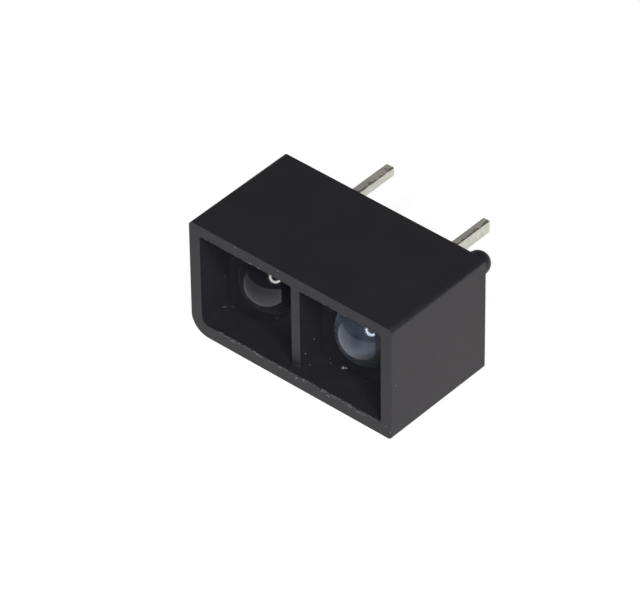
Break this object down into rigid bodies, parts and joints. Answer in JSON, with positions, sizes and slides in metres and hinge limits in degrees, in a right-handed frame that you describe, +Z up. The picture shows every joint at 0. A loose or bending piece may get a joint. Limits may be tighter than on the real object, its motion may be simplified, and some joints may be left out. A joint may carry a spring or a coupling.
{
  "type": "reflective optical sensor",
  "caption": "Reflective optical sensor: black moulded housing with a clear infrared emitter dome and a dark detector dome in recessed windows, locating pegs and square leads.",
  "frame": {"origin": "middle of the housing's back face, which seats on the circuit board", "axes": "+Y out of the back face into the board, along the leads; +X along the row of windows, from the detector to the emitter; +Z up, across the windows, as the part lies on its long side"},
  "size_m": [0.0106, 0.0093, 0.0056],
  "materials": {
    "housing_plastic": "fine moulded texture, matte black",
    "clear_epoxy": "clear epoxy with a faint blue tint, polished by its mould",
    "dark_epoxy": "near-black daylight filter epoxy, polished by its mould",
    "tinned_lead": "dull tin plating with drawn streaks",
    "emitter_die": "sawn and polished semiconductor",
    "silicon_die": "polished silicon",
    "silver_epoxy": "cured silver-filled epoxy",
    "gold_wire": "drawn gold"
  },
  "bodies": {
    "root": {"housing": "housing_plastic", "emitter_lens": "clear_epoxy", "emitter_cathode_lead": "tinned_lead", "emitter_anode_lead": "tinned_lead", "emitter_chip": "emitter_die", "emitter_die_attach": "silver_epoxy", "emitter_bond_wire": "gold_wire", "detector_lens": "dark_epoxy", "detector_collector_lead": "tinned_lead", "detector_emitter_lead": "tinned_lead", "detector_chip": "silicon_die", "detector_die_attach": "silver_epoxy", "detector_bond_wire": "gold_wire"}
  },
  "joints": []
}
